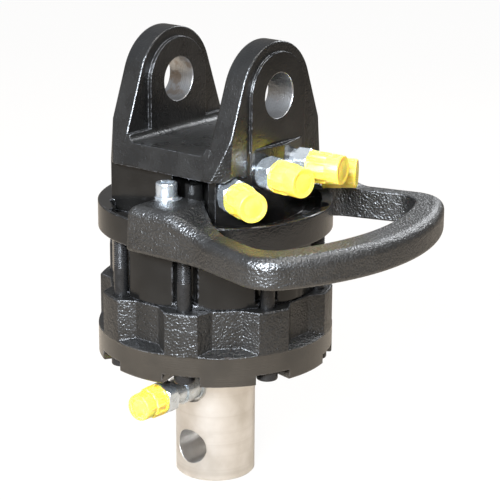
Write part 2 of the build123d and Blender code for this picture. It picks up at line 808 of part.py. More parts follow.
def outer_edges(half, level_low, level_high):
    """Long edges between two levels that run round the outside of half a guard."""
    centre = guard_apex_inner - guard_inner_radius
    middle = (guard_apex_inner + guard_apex_outer) / 2 - centre
    chosen = []
    for edge in half.edges():
        spot = edge @ 0.5
        across = abs((edge @ 0).Z - (edge @ 1).Z) > 0.5 * edge.length
        radius = sqrt((spot.X - centre) ** 2 + spot.Y ** 2)
        outside = spot.Y > lug_outer_y - 0.1 or (radius > middle and spot.X > leg_inner_x)
        if not across and outside and spot.Y > 0.01 and level_low < spot.Z < level_high:
            chosen.append(edge)
    return chosen


def hose_guard():
    """Cast loop round the ports, hooked over the flange rim by two lugs."""
    top = flange_bottom + guard_height
    block_height = lug_top - flange_bottom
    half = Pos(0, 0, flange_bottom) * extrude(guard_plan(), amount=block_height)
    half = half & extrude(guard_side(flange_bottom, top), amount=2 * lug_outer_y, both=True)
    rear = [edge for edge in half.edges() if (edge @ 0.5).Y > lug_outer_y - 0.1
            and (edge @ 0.5).X < lug_rear_x + lug_rear_draft + 0.1 and abs((edge @ 0).Z - (edge @ 1).Z) > 1]
    half = fillet(rear, lug_rear_rounding)
    half = fillet(outer_edges(half, top - 1, lug_top + 1), guard_top_rounding)
    half = fillet(outer_edges(half, flange_bottom - 1, flange_bottom + 1), guard_bottom_rounding)
    half -= upright(flange_radius + guard_flange_clearance, flange_bottom - 1, flange_top)
    half -= upright(guard_screw_radius + bolt_hole_clearance, flange_bottom, lug_top + 1,
                    (guard_screw_x, guard_screw_y))
    return half + mirror(half, about=Plane.XZ)


def guard_screw():
    """Flanged socket head screw that holds one guard lug."""
    body = upright(guard_screw_radius, flange_top - guard_screw_reach, lug_top)
    body += upright(guard_screw_flange_radius, lug_top, lug_top + guard_screw_flange_height)
    head = upright(guard_screw_head_radius, lug_top, lug_top + guard_screw_head_height)
    body += chamfer(head.edges().sort_by(Axis.Z)[-1], screw_head_chamfer)
    socket_floor = lug_top + guard_screw_head_height - bolt_socket_depth
    body -= hexagon(bolt_socket_flats, socket_floor, lug_top + guard_screw_head_height + 1)
    return Pos(guard_screw_x, guard_screw_y, 0) * body


def gallery_plug():
    """Socket head plug that closes an oil gallery beside the guard lug."""
    base = flange_top + plug_boss_height
    body = upright(plug_stud_radius, base - plug_stud_length, base)
    body += upright(plug_flange_radius, base, base + plug_flange_height)
    head = upright(plug_radius, base, base + plug_height)
    body += chamfer(head.edges().sort_by(Axis.Z)[-1], screw_head_chamfer)
    body -= hexagon(plug_socket_flats, base + plug_height - bolt_socket_depth, base + plug_height + 1)
    return Pos(plug_x, plug_y, 0) * body


def journal_bushes():
    """Two bronze bushes that guide the journal in the head."""
    bore = journal_radius + running_clearance
    upper = ring(bore, journal_bush_radius, upper_bush_bottom, journal_top)
    lower = ring(bore, journal_bush_radius, lower_bush_bottom, lower_bush_top)
    return group([upper, lower])


def swivel_seals():
    """Three seal rings that part the oil galleries of the journal."""
    rings = []
    for index in range(3):
        level = swivel_level(2 * index)
        rings.append(ring(journal_radius + running_clearance, swivel_seal_radius,
                          level - swivel_seal_height / 2, level + swivel_seal_height / 2))
    return group(rings)


def channel_plugs():
    """Plugs that close the two drilled channels at the top of the journal."""
    plug = upright(channel_radius - running_clearance, journal_top - channel_plug_length, journal_top)
    return group([Pos(0, sign * channel_offset, 0) * plug for sign in (-1, 1)])


def stator_orings():
    """O-rings in the head and cover faces against the stator."""
    shift = oring_section_radius + oring_clearance / 2
    upper = Pos(0, 0, flange_bottom + shift) * Torus(oring_radius, oring_section_radius)
    lower = Pos(0, 0, stator_bottom - shift) * Torus(oring_radius, oring_section_radius)
    return group([upper, lower])


def dowel_pins():
    """Two pins that set head, stator and cover in line."""
    reach = dowel_depth - dowel_end_gap
    pin = upright(dowel_radius, stator_bottom - reach, flange_bottom + reach)
    return group([Pos(*polar(dowel_circle_radius, angle), 0) * pin for angle in (0, 180)])


os.makedirs("parts", exist_ok=True)

save(upper_head(), "upper_head")
save(journal_bushes(), "journal_bushes")
save(swivel_seals(), "swivel_seals")
save(ring(journal_radius + 1, washer_radius, flange_bottom, flange_bottom + washer_thickness),
     "upper_thrust_washer")
save(stator_ring(), "stator_ring")
save(stator_orings(), "stator_orings")
save(dowel_pins(), "dowel_pins")
save(lower_cover(), "lower_cover")
save(bearing_race(lower_race_bottom), "lower_race")
save(ring(shaft_radius + running_clearance, shaft_bush_radius, shaft_bush_bottom, shaft_bush_top),
     "shaft_bush")
save(ring(shaft_radius + running_clearance, shaft_seal_radius, shaft_seal_bottom,
          shaft_seal_bottom + shaft_seal_height), "shaft_seal")
save(ring(shaft_radius + running_clearance, wiper_radius, cover_bottom + wiper_recess, shaft_seal_bottom),
     "wiper_ring")
save(group(around(housing_bolt(), bolt_angles)), "housing_bolts")
save(hose_guard(), "hose_guard")
save(group([guard_screw(), mirror(guard_screw(), about=Plane.XZ)]), "guard_screws")
save(gallery_plug(), "gallery_plug")
washers, adaptors, caps = fittings(upper_port_places(),
                                   [(seal_washer_radius, adaptor_collar_length)], cap_length)
save(washers, "port_seals")
save(adaptors, "port_adaptors")
save(caps, "port_caps")
save(output_shaft(), "output_shaft")
save(channel_plugs(), "channel_plugs")
save(bearing_race(upper_race_bottom), "upper_race")
washers, adaptors, caps = fittings(lower_port_places(),
                                   [(shank_wide_radius, shank_wide_length),
                                    (shank_narrow_radius, shank_narrow_length)], lower_cap_length)
save(washers, "lower_seals")
save(adaptors, "lower_adaptors")
save(caps, "lower_caps")
save(ball_cage(), "ball_cage")
save(thrust_balls(), "thrust_balls")
for number, angle in enumerate(vane_angles, start=1):
    save(Rot(0, 0, angle) * vane(), f"vane_{number}")
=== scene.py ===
from math import cos, pi, radians, sin

import bmesh
import bpy
from mathutils import Matrix, Vector


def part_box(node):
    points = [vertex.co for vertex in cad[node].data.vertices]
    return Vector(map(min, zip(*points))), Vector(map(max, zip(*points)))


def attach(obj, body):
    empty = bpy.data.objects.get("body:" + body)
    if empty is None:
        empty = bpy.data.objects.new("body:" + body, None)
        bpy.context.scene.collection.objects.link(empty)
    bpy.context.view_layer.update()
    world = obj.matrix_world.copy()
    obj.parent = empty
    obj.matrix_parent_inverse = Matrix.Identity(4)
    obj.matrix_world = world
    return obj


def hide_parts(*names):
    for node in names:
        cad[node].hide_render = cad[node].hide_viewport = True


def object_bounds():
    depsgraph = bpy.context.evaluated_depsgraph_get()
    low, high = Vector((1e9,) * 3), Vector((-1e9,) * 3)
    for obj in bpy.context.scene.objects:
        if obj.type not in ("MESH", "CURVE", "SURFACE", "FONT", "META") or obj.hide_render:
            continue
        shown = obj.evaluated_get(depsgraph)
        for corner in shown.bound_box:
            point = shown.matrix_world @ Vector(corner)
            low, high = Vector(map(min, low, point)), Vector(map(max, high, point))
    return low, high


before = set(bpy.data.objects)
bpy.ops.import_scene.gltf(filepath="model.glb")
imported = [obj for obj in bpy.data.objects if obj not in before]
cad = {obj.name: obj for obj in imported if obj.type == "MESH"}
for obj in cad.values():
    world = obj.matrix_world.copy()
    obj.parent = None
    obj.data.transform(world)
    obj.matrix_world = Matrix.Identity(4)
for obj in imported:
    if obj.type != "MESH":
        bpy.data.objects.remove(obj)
cad_low, cad_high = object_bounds()

# Upper head: one iron casting with two clevis ears, a port boss and a round bolting flange.
# Sprayed gloss black after machining; the two bores for the clevis pin stay bare steel.
# The eight housing bolts clamp it to the stator and the lower cover.

pin_bore_radius = 0.0190
bare_margin = 0.0001
paint_line = 0.0002
waist_level = -0.0622
waist_softness = 0.0010
waist_wander = 0.012
boss_root = 0.0677
boss_softness = 0.0005
ear_pad_from = 0.0655
ear_pad_to = 0.0662
left_ear_from = -0.035
left_ear_to = -0.045
knock_places = ((0.0090, -0.0628, -0.0555), (0.0195, -0.0628, -0.0590))
knock_radius = 0.0052
knock_core = 0.0012
paint_deep = (0.0030, 0.0029, 0.0028)
paint_pale = (0.0060, 0.0057, 0.0053)
dust_grey = (0.10, 0.10, 0.095)
# Pale grey for the paint's edges: partly paint worn thin, partly a painted highlight on the rounded edges.
thin_paint_and_highlight_grey = (0.17, 0.17, 0.18)
bored_dark = (0.32, 0.32, 0.325)
bored_bright = (0.52, 0.52, 0.52)
rust_brown = (0.22, 0.15, 0.09)


def feed(tree, node, inputs):
    """Give a node's inputs their values, or links where they come from another node."""
    for key, value in inputs.items():
        if isinstance(value, bpy.types.NodeSocket):
            tree.links.new(value, node.inputs[key])
        else:
            node.inputs[key].default_value = value


def add(tree, kind, inputs, **settings):
    """One shader node with its settings and its inputs."""
    node = tree.nodes.new(kind)
    for key, value in settings.items():
        setattr(node, key, value)
    feed(tree, node, inputs)
    return node


def maths(tree, operation, first, second=0.0, clamp=False):
    """Result of one arithmetic step between sockets or numbers."""
    node = add(tree, "ShaderNodeMath", {0: first, 1: second}, operation=operation, use_clamp=clamp)
    return node.outputs[0]


def times(tree, first, second):
    """Product of two sockets or numbers."""
    return maths(tree, "MULTIPLY", first, second)


def plus(tree, first, second):
    """Sum of two sockets or numbers."""
    return maths(tree, "ADD", first, second)


def ramp(tree, value, low, high, out_low=0.0, out_high=1.0):
    """Value stretched smoothly from one span to another and kept inside it."""
    node = add(tree, "ShaderNodeMapRange", {"Value": value, "From Min": low, "From Max": high,
                                            "To Min": out_low, "To Max": out_high},
               interpolation_type="SMOOTHSTEP", clamp=True)
    return node.outputs["Result"]


def mixed(tree, factor, first, second):
    """Colour between two colours, each a socket or three numbers."""
    ends = [colour if isinstance(colour, bpy.types.NodeSocket) else (*colour, 1.0)
            for colour in (first, second)]
    node = add(tree, "ShaderNodeMix", {"Factor": factor, 6: ends[0], 7: ends[1]}, data_type="RGBA")
    return node.outputs[2]


def noise(tree, place, size, detail=2.0):
    """Soft noise whose lumps are about this size in metres."""
    node = add(tree, "ShaderNodeTexNoise", {"Vector": place, "Scale": 1.0 / size, "Detail": detail})
    return node.outputs["Fac"]


def xyz(tree, place):
    """X, Y and Z of a place."""
    return add(tree, "ShaderNodeSeparateXYZ", {"Vector": place}).outputs


def reach(tree, vector):
    """Length of a vector."""
    return add(tree, "ShaderNodeVectorMath", {0: vector}, operation="LENGTH").outputs["Value"]


def from_axis(tree, x, y, z):
    """Distance from an axis, with the one of x, y and z that runs along it given as zero."""
    return reach(tree, add(tree, "ShaderNodeCombineXYZ", {0: x, 1: y, 2: z}).outputs[0])


def group(name, inputs, outputs):
    """Empty shader group with named inputs and outputs: its tree, what it is given and its end."""
    tree = bpy.data.node_groups.new(name, "ShaderNodeTree")
    for label, kind, value in inputs:
        socket = tree.interface.new_socket(label, in_out="INPUT", socket_type=kind)
        if value is not None:
            socket.default_value = value
    for label, kind in outputs:
        tree.interface.new_socket(label, in_out="OUTPUT", socket_type=kind)
    return tree, tree.nodes.new("NodeGroupInput").outputs, tree.nodes.new("NodeGroupOutput")


def used(tree, effect, inputs):
    """Outputs of one use of a shader group."""
    return add(tree, "ShaderNodeGroup", inputs, node_tree=effect).outputs


def material(name, **values):
    """New node material: itself, its tree, its surface shader and the position in the piece."""
    made = bpy.data.materials.new(name)
    made.use_nodes = True
    tree = made.node_tree
    shader = tree.nodes["Principled BSDF"]
    for key, value in values.items():
        shader.inputs[key.replace("_", " ")].default_value = value
    place = add(tree, "ShaderNodeTexCoord", {}).outputs["Object"]
    return made, tree, shader, place


def dress(obj, made, smooth=32):
    """Give a piece its material and smooth shading across gentle turns."""
    obj.data.materials.clear()
    obj.data.materials.append(made)
    for face in obj.data.polygons:
        face.use_smooth = True
    obj.data.set_sharp_from_angle(angle=radians(smooth))


# Sand-cast skin: rounded grains of one size, with lumps four times as large under them.
cast_grain, given, end = group("cast_grain",
                               [("Position", "NodeSocketVector", None), ("Grain", "NodeSocketFloat", 0.0012)],
                               [("Height", "NodeSocketFloat")])
scale = maths(cast_grain, "DIVIDE", 1.0, given["Grain"])
fine = add(cast_grain, "ShaderNodeTexNoise",
           {"Vector": given["Position"], "Scale": scale, "Detail": 2.0, "Roughness": 0.5})
pebbles = add(cast_grain, "ShaderNodeTexVoronoi",
              {"Vector": given["Position"], "Scale": times(cast_grain, scale, 0.8), "Smoothness": 0.5},
              feature="SMOOTH_F1")
coarse = add(cast_grain, "ShaderNodeTexNoise",
             {"Vector": given["Position"], "Scale": times(cast_grain, scale, 0.25), "Detail": 2.0})
grains = plus(cast_grain, times(cast_grain, fine.outputs["Fac"], 0.8),
              times(cast_grain, pebbles.outputs["Distance"], -0.6))
grains = plus(cast_grain, grains, times(cast_grain, coarse.outputs["Fac"], 1.2))
feed(cast_grain, end, {"Height": grains})

# Turning marks: fine uneven lines at one pitch across the distance they are given.
turning_marks, given, end = group("turning_marks",
                                  [("Distance", "NodeSocketFloat", 0.0), ("Pitch", "NodeSocketFloat", 0.0005),
                                   ("Detail", "NodeSocketFloat", 2.0)],
                                  [("Mark", "NodeSocketFloat")])
step = maths(turning_marks, "DIVIDE", given["Distance"], given["Pitch"])
uneven = add(turning_marks, "ShaderNodeTexNoise", {"W": step, "Scale": 1.0, "Detail": given["Detail"]},
             noise_dimensions="1D")
feed(turning_marks, end, {"Mark": uneven.outputs["Fac"]})

# Rounded edge: a normal softened round the edges, and a mask of where it leaves the flat faces.
rounded_edge, given, end = group("rounded_edge",
                              [("Radius", "NodeSocketFloat", 0.001)],
                              [("Normal", "NodeSocketVector"), ("Edge", "NodeSocketFloat")])
rounded = add(rounded_edge, "ShaderNodeBevel", {"Radius": given["Radius"]}, samples=8).outputs["Normal"]
flat = add(rounded_edge, "ShaderNodeNewGeometry", {}).outputs["Normal"]
facing = add(rounded_edge, "ShaderNodeVectorMath", {0: rounded, 1: flat}, operation="DOT_PRODUCT")
feed(rounded_edge, end, {"Normal": rounded, "Edge": ramp(rounded_edge, facing.outputs["Value"], 0.995, 0.86)})

# Black paint: glossy and deep on turned faces, duller and pebbled on cast skin, thin and paler on edges,
# where the pale grey is partly worn paint and partly a painted highlight.
black_paint, given, end = group("black_paint",
                                [("Position", "NodeSocketVector", None),
                                 ("Cast share", "NodeSocketFloat", 1.0),
                                 ("Grain", "NodeSocketFloat", 0.0014), ("Edge", "NodeSocketFloat", 0.0)],
                                [("Color", "NodeSocketColor"), ("Roughness", "NodeSocketFloat"),
                                 ("Height", "NodeSocketFloat")])
skin = used(black_paint, cast_grain, {"Position": given["Position"], "Grain": given["Grain"]})["Height"]
cloud = noise(black_paint, given["Position"], 0.024, 4.0)
dust = ramp(black_paint, noise(black_paint, given["Position"], 0.0011), 0.68, 0.76)
dust = times(black_paint, dust, times(black_paint, given["Cast share"], 0.4))
# Edges lightened towards pale grey by the edge mask: partly worn paint, partly a painted highlight along the
# rounded edges.
edge_wear_and_highlight = ramp(black_paint, noise(black_paint, given["Position"], 0.004, 4.0), 0.42, 0.62)
edge_wear_and_highlight = times(black_paint, times(black_paint, given["Edge"], edge_wear_and_highlight), 0.35)
peel = noise(black_paint, given["Position"], 0.0026, 1.0)
tone = mixed(black_paint, ramp(black_paint, cloud, 0.3, 0.7), paint_deep, paint_pale)
tone = mixed(black_paint, dust, tone, dust_grey)
feed(black_paint, end, {
    "Color": mixed(black_paint, edge_wear_and_highlight, tone, thin_paint_and_highlight_grey),
    "Roughness": plus(black_paint, ramp(black_paint, cloud, 0.25, 0.75, 0.13, 0.21),
                      times(black_paint, given["Cast share"], 0.20)),
    "Height": plus(black_paint, times(black_paint, skin, given["Cast share"]),
                   times(black_paint, peel, 0.05))})


def painted(name, cast_share, bare=None, edge=0.0014, depth=0.00042, grain=0.0013, gloss=0.66):
    """Black paint over a casting; cast_share marks its rough skin, bare its thin or missing paint."""
    made, tree, shader, place = material(name, Specular_IOR_Level=gloss)
    soft = used(tree, rounded_edge, {"Radius": edge})
    paint = used(tree, black_paint, {"Position": place, "Cast share": cast_share(tree, place),
                                       "Grain": grain, "Edge": soft["Edge"]})
    color, rough = paint["Color"], paint["Roughness"]
    if bare:
        share, tint = bare(tree, place)
        color = mixed(tree, share, color, tint)
        rough = plus(tree, rough, times(tree, share, 0.08))
        feed(tree, shader, {"Metallic": share})
    bump = add(tree, "ShaderNodeBump",
               {"Height": paint["Height"], "Distance": depth, "Normal": soft["Normal"]})
    feed(tree, shader, {"Base Color": color, "Roughness": rough, "Normal": bump.outputs["Normal"]})
    return made


def head_cast_share(tree, place):
    """Rough above the machined block and on the boss, smoother on the ears' outer faces."""
    at = xyz(tree, place)
    wander = maths(tree, "SUBTRACT", noise(tree, place, 0.022, 3.0), 0.5)
    level = plus(tree, at["Z"], times(tree, wander, waist_wander))
    upper = ramp(tree, level, waist_level - waist_softness, waist_level + waist_softness)
    boss = ramp(tree, at["X"], boss_root - boss_softness, boss_root + boss_softness)
    pads = ramp(tree, maths(tree, "ABSOLUTE", at["X"]), ear_pad_from, ear_pad_to)
    rough = times(tree, maths(tree, "MAXIMUM", upper, boss),
                  maths(tree, "SUBTRACT", 1.0, times(tree, pads, 0.55)))
    return plus(tree, times(tree, rough, 0.55), 0.03)


def head_bare(tree, place):
    """Bored steel inside the ears, rust-brown smears in the left one, and two knocks."""
    at = xyz(tree, place)
    bare_radius = pin_bore_radius + bare_margin
    bore = ramp(tree, from_axis(tree, 0.0, at["Y"], at["Z"]), bare_radius + paint_line, bare_radius)
    away = [add(tree, "ShaderNodeVectorMath", {0: place, 1: spot}, operation="SUBTRACT").outputs[0]
            for spot in knock_places]
    nearest = maths(tree, "MINIMUM", reach(tree, away[0]), reach(tree, away[1]))
    chips = times(tree, ramp(tree, nearest, knock_radius, knock_core),
                  ramp(tree, noise(tree, place, 0.0022, 3.0), 0.47, 0.55))
    marks = used(tree, turning_marks, {"Distance": at["X"], "Pitch": 0.0006})["Mark"]
    smear = times(tree, ramp(tree, noise(tree, place, 0.012, 5.0), 0.47, 0.62),
                  ramp(tree, at["X"], left_ear_from, left_ear_to))
    tint = mixed(tree, ramp(tree, marks, 0.3, 0.7), bored_dark, bored_bright)
    return maths(tree, "MAXIMUM", bore, chips), mixed(tree, times(tree, smear, 0.6), tint, rust_brown)


dress(cad["upper_head"], painted("head_paint", head_cast_share, head_bare))

# Bushes, thrust washer and ball cage: bronze rings that carry the shaft inside the housing.
# Turned from bar; the bushes are pressed into their bores, the washer and the cage lie loose.

bronze_dark = (0.42, 0.27, 0.11)
bronze_bright = (0.60, 0.42, 0.20)
bronze, tree, shader, place = material("bronze", Metallic=1.0)
turned = used(tree, turning_marks, {"Distance": xyz(tree, place)["Z"], "Pitch": 0.0005})["Mark"]
feed(tree, shader, {"Base Color": mixed(tree, turned, bronze_dark, bronze_bright),
                    "Roughness": ramp(tree, turned, 0.2, 0.8, 0.24, 0.38)})
for name in ("journal_bushes", "upper_thrust_washer", "shaft_bush", "ball_cage"):
    dress(cad[name], bronze)

# Swivel seals, O-rings, shaft seal and wiper: moulded rubber rings, slipped into their grooves.
# They are matt black, with a faint grey bloom.

rubber_black = (0.010, 0.010, 0.010)
rubber_bloom = (0.030, 0.029, 0.027)
rubber, tree, shader, place = material("seal_rubber")
bloom = noise(tree, place, 0.006, 4.0)
feed(tree, shader, {"Base Color": mixed(tree, bloom, rubber_black, rubber_bloom),
                    "Roughness": ramp(tree, bloom, 0.2, 0.8, 0.45, 0.65)})
for name in ("swivel_seals", "stator_orings", "shaft_seal", "wiper_ring"):
    dress(cad[name], rubber)

# Dowels, thrust bearing and vanes: hardened steel, ground bright on every face.
# The dowels locate the stator, the bearing carries the load, the vanes slide in the shaft's drum.

ground_dark = (0.48, 0.48, 0.49)
ground_bright = (0.62, 0.62, 0.63)
ground_steel, tree, shader, place = material("ground_steel", Metallic=1.0)
grind = noise(tree, place, 0.0007, 3.0)
feed(tree, shader, {"Base Color": mixed(tree, grind, ground_dark, ground_bright),
                    "Roughness": ramp(tree, grind, 0.2, 0.8, 0.12, 0.22)})
for name in ("dowel_pins", "lower_race", "upper_race", "thrust_balls"):
    dress(cad[name], ground_steel)
for number in range(1, 9):
    dress(cad[f"vane_{number}"], ground_steel)

# Stator ring: iron ring with the vane chambers, turned outside and fluted round the bolts.
# Painted black with the rest; held between head and cover by the bolts and two dowels.


def stator_cast_share(tree, place):
    """Smooth all round, with fine turning lines left under the paint."""
    marks = used(tree, turning_marks, {"Distance": xyz(tree, place)["Z"], "Pitch": 0.0009})["Mark"]
    return ramp(tree, marks, 0.3, 0.7, 0.01, 0.05)


dress(cad["stator_ring"], painted("stator_paint", stator_cast_share, edge=0.0030, gloss=0.38))

# Lower cover: iron casting that carries the bearing, with recesses between the bolt lobes.
# Its sides are rough as cast above a turned band; painted black and clamped by the bolts.

ledge_low = -0.2082
ledge_high = -0.2068
ledge_wander = 0.004
recess_from = 0.0780
recess_to = 0.0790
band_top = -0.2066
band_full = -0.2074
band_brown = (0.50, 0.40, 0.29)


def cover_cast_share(tree, place):
    """Pebbled cast sides above the smooth turned band."""
    at = xyz(tree, place)
    wander = times(tree, maths(tree, "SUBTRACT", noise(tree, place, 0.012, 2.0), 0.5), ledge_wander)
    above = ramp(tree, plus(tree, at["Z"], wander), ledge_low, ledge_high)
    outside = ramp(tree, from_axis(tree, at["X"], at["Y"], 0.0), recess_from, recess_to)
    return plus(tree, times(tree, times(tree, above, outside), 0.96), 0.04)


def cover_thin_paint(tree, place):
    """Thin brownish paint over the turning marks of the band and the bottom."""
    height = xyz(tree, place)["Z"]
    marks = used(tree, turning_marks, {"Distance": height, "Pitch": 0.0005})["Mark"]
    share = times(tree, ramp(tree, marks, 0.3, 0.7, 0.015, 0.040),
                  ramp(tree, noise(tree, place, 0.030, 4.0), 0.3, 0.7, 0.6, 1.2))
    return times(tree, ramp(tree, height, band_top, band_full), share), band_brown


cover_paint = painted("cover_paint", cover_cast_share, cover_thin_paint,
                      edge=0.0016, depth=0.00070, grain=0.0017)
dress(cad["lower_cover"], cover_paint)

# Output shaft: one steel forging with the journal, the vane drum and the spigot for the load pin.
# Bare turned steel; it hangs on the thrust bearing. Two plugs close its oil channels at the top.

turned_bright = (0.76, 0.745, 0.73)
turned_stained = (0.58, 0.555, 0.52)
turned_banded = (0.52, 0.49, 0.455)
shaft_steel, tree, shader, place = material("shaft_steel", Metallic=1.0)
height = xyz(tree, place)["Z"]
lines = used(tree, turning_marks, {"Distance": height, "Pitch": 0.0004})["Mark"]
bands = used(tree, turning_marks, {"Distance": height, "Pitch": 0.009, "Detail": 3.0})["Mark"]
stain = ramp(tree, noise(tree, place, 0.030, 4.0), 0.35, 0.75)
tint = mixed(tree, stain, turned_bright, turned_stained)
tint = mixed(tree, times(tree, ramp(tree, bands, 0.5, 0.8), 0.35), tint, turned_banded)
soft = used(tree, rounded_edge, {"Radius": 0.0008})
bump = add(tree, "ShaderNodeBump",
           {"Height": lines, "Distance": 0.00002, "Strength": 0.5, "Normal": soft["Normal"]})
feed(tree, shader, {"Base Color": tint, "Roughness": ramp(tree, lines, 0.2, 0.8, 0.28, 0.42),
                    "Normal": bump.outputs["Normal"]})
for name in ("output_shaft", "channel_plugs"):
    dress(cad[name], shaft_steel)

# Housing bolts: eight M12 socket screws in black oxide, put in from below through the cover and
# past the stator. Their knurled heads stand in the cover's notches, and their rolled threads
# run into the head.

bolt_count = 8
bolt_circle = 0.090
bolt_head_height = 0.0120
bolt_thread_length = 0.046
m12_radius = 0.0060
m12_head_radius = 0.0090
m12_socket_width = 0.0100
m12_socket_depth = 0.0060
m12_pitch = 0.00175
m12_thread_depth = 0.00085
m12_tip_inset = 0.0016
m12_tip_chamfer = 0.0010
m12_tip_plain = 0.0012
socket_chamfer = 0.0004
head_crown = 0.0010
knurl_count = 36
knurl_depth = 0.00022
shank_root = 0.001
thread_steps = 8
thread_fade_steps = 12
head_facets = 144
shank_facets = 32
oxide_black = (0.012, 0.012, 0.013)
oxide_oily = (0.030, 0.029, 0.028)
oxide_worn = (0.25, 0.25, 0.26)


def hexagon(width):
    """Radius of a hexagon at each angle, from its width across flats."""
    def radius(angle):
        return width / 2 / cos(angle % (pi / 3) - pi / 6)
    return radius


def knurled(head_radius):
    """Radius of a knurled head at each angle."""
    def radius(angle):
        return head_radius - knurl_depth * (0.5 + 0.5 * cos(knurl_count * angle)) ** 2
    return radius


def threaded(height, fade):
    """Radius at each angle on the thread's flanks at one height."""
    def radius(angle):
        phase = (height / m12_pitch - angle / (2 * pi)) % 1.0
        return m12_radius - fade * m12_thread_depth * (1 - abs(2 * phase - 1))
    return radius


def lathe(rows, steps):
    """Closed mesh turned about Z from heights and radii; a radius may change with the angle."""
    verts, faces, rings = [], [], []
    for height, radius in rows:
        start = len(verts)
        if radius == 0:
            verts.append((0.0, 0.0, height))
            rings.append([start] * steps)
            continue
        for step in range(steps):
            angle = 2 * pi * step / steps
            size = radius(angle) if callable(radius) else radius
            verts.append((size * cos(angle), size * sin(angle), height))
        rings.append(list(range(start, start + steps)))
    for one, two in zip(rings, rings[1:]):
        for step in range(steps):
            after = (step + 1) % steps
            corners = [one[step], one[after], two[after], two[step]]
            faces.append(list(dict.fromkeys(corners)))
    mesh = bpy.data.meshes.new("turned")
    mesh.from_pydata(verts, [], faces)
    return mesh


def socket_head(top, bottom, flange_radius=None, flange_height=0.0):
    """Rows of a knurled M12 socket head, from its socket's floor over the rim to its seat."""
    radius = m12_head_radius
    rim, grip = hexagon(m12_socket_width), knurled(radius)
    floor = top - m12_socket_depth
    rows = [(floor, 0), (floor, rim), (top - socket_chamfer, rim),
            (top, hexagon(m12_socket_width + 2 * socket_chamfer)),
            (top, radius - head_crown), (top - 0.3 * head_crown, radius - 0.4 * head_crown),
            (top - 1.2 * head_crown, radius), (top - 1.8 * head_crown, grip)]
    if flange_radius:
        seat = bottom + flange_height
        rows += [(seat + 1.6 * head_crown, grip), (seat + head_crown, radius - 0.2 * head_crown),
                 (seat, radius), (seat - 0.3 * head_crown, flange_radius - 0.4 * head_crown),
                 (seat - 0.8 * head_crown, flange_radius), (bottom, flange_radius), (bottom, 0)]
    else:
        rows += [(bottom + head_crown, grip), (bottom + 0.4 * head_crown, radius),
                 (bottom, radius - 0.3 * head_crown), (bottom, 0)]
    return rows


def threaded_shank(tip, thread_length):
    """Rows of an M12 shank from its root at zero to its tip, with a rolled thread that fades in."""
    start = tip - thread_length
    rows = [(0.0, 0), (0.0, m12_radius), (start, m12_radius)]
    rise = m12_pitch / thread_steps
    for index in range(1, round((thread_length - m12_tip_plain) / rise)):
        height = start + index * rise
        rows.append((height, threaded(height, min(1.0, index / thread_fade_steps))))
    rows += [(tip - m12_tip_chamfer, m12_radius - m12_thread_depth),
             (tip, m12_radius - m12_tip_inset), (tip, 0)]
    return rows


def piece(name, parts):
    """One object from meshes and their places, with its normals pointing outwards."""
    verts, faces = [], []
    for mesh, matrix in parts:
        start = len(verts)
        verts += [matrix @ vert.co for vert in mesh.vertices]
        faces += [[start + index for index in face.vertices] for face in mesh.polygons]
    data = bpy.data.meshes.new(name)
    data.from_pydata(verts, [], faces)
    data.validate()
    shell = bmesh.new()
    shell.from_mesh(data)
    bmesh.ops.recalc_face_normals(shell, faces=shell.faces)
    shell.to_mesh(data)
    shell.free()
    obj = bpy.data.objects.new(name, data)
    bpy.context.scene.collection.objects.link(obj)
    return obj


black_oxide, tree, shader, place = material("black_oxide", Metallic=0.55)
oil = noise(tree, place, 0.005, 4.0)
soft = used(tree, rounded_edge, {"Radius": 0.0005})
film = mixed(tree, oil, oxide_black, oxide_oily)
feed(tree, shader, {"Base Color": mixed(tree, times(tree, soft["Edge"], 0.4), film, oxide_worn),
                    "Roughness": ramp(tree, oil, 0.2, 0.8, 0.22, 0.36), "Normal": soft["Normal"]})

bolt_low, bolt_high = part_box("housing_bolts")
bolt_seat = bolt_low[2] + bolt_head_height
bolt_head = lathe(socket_head(0.0, -bolt_head_height), head_facets)
bolt_tip = bolt_high[2] - bolt_seat + shank_root
bolt_shank = lathe(threaded_shank(bolt_tip, bolt_thread_length), shank_facets)
upside_down = Matrix.Rotation(pi, 4, "X")
bolt_parts = []
for index in range(bolt_count):
    angle = 2 * pi * (index + 0.5) / bolt_count
    stand = Matrix.Translation((bolt_circle * cos(angle), bolt_circle * sin(angle), bolt_seat))
    bolt_parts += [(bolt_head, stand @ upside_down @ Matrix.Translation((0, 0, bolt_head_height))),
                   (bolt_shank, stand @ Matrix.Translation((0, 0, -shank_root)))]
bolts = piece("housing_bolts_threaded", bolt_parts)
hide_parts("housing_bolts")
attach(bolts, "housing")
dress(bolts, black_oxide)

# Gallery plug: steel socket head plug that closes an oil gallery beside the guard's lug.
# Sprayed over with the head, so it is glossy black.

plug_deep = (0.004, 0.004, 0.004)
plug_pale = (0.010, 0.0095, 0.009)
plug_paint, tree, shader, place = material("plug_gloss")
film = noise(tree, place, 0.006, 3.0)
feed(tree, shader, {"Base Color": mixed(tree, film, plug_deep, plug_pale),
                    "Roughness": ramp(tree, film, 0.2, 0.8, 0.14, 0.24),
                    "Normal": used(tree, rounded_edge, {"Radius": 0.0007})["Normal"]})
dress(cad["gallery_plug"], plug_paint)

# Hose guard: iron casting looped round the ports and hooked over the flange by two lugs.
# Rough cast skin under black paint, with a flat turned seat under each of its two screws.

guard_screw_x = 0.0075
guard_screw_y = 0.0730
guard_seat_radius = 0.0125
guard_seat_edge = 0.0003
lug_top_from = -0.0824
lug_top_to = -0.0820
seat_grey = (0.34, 0.35, 0.36)


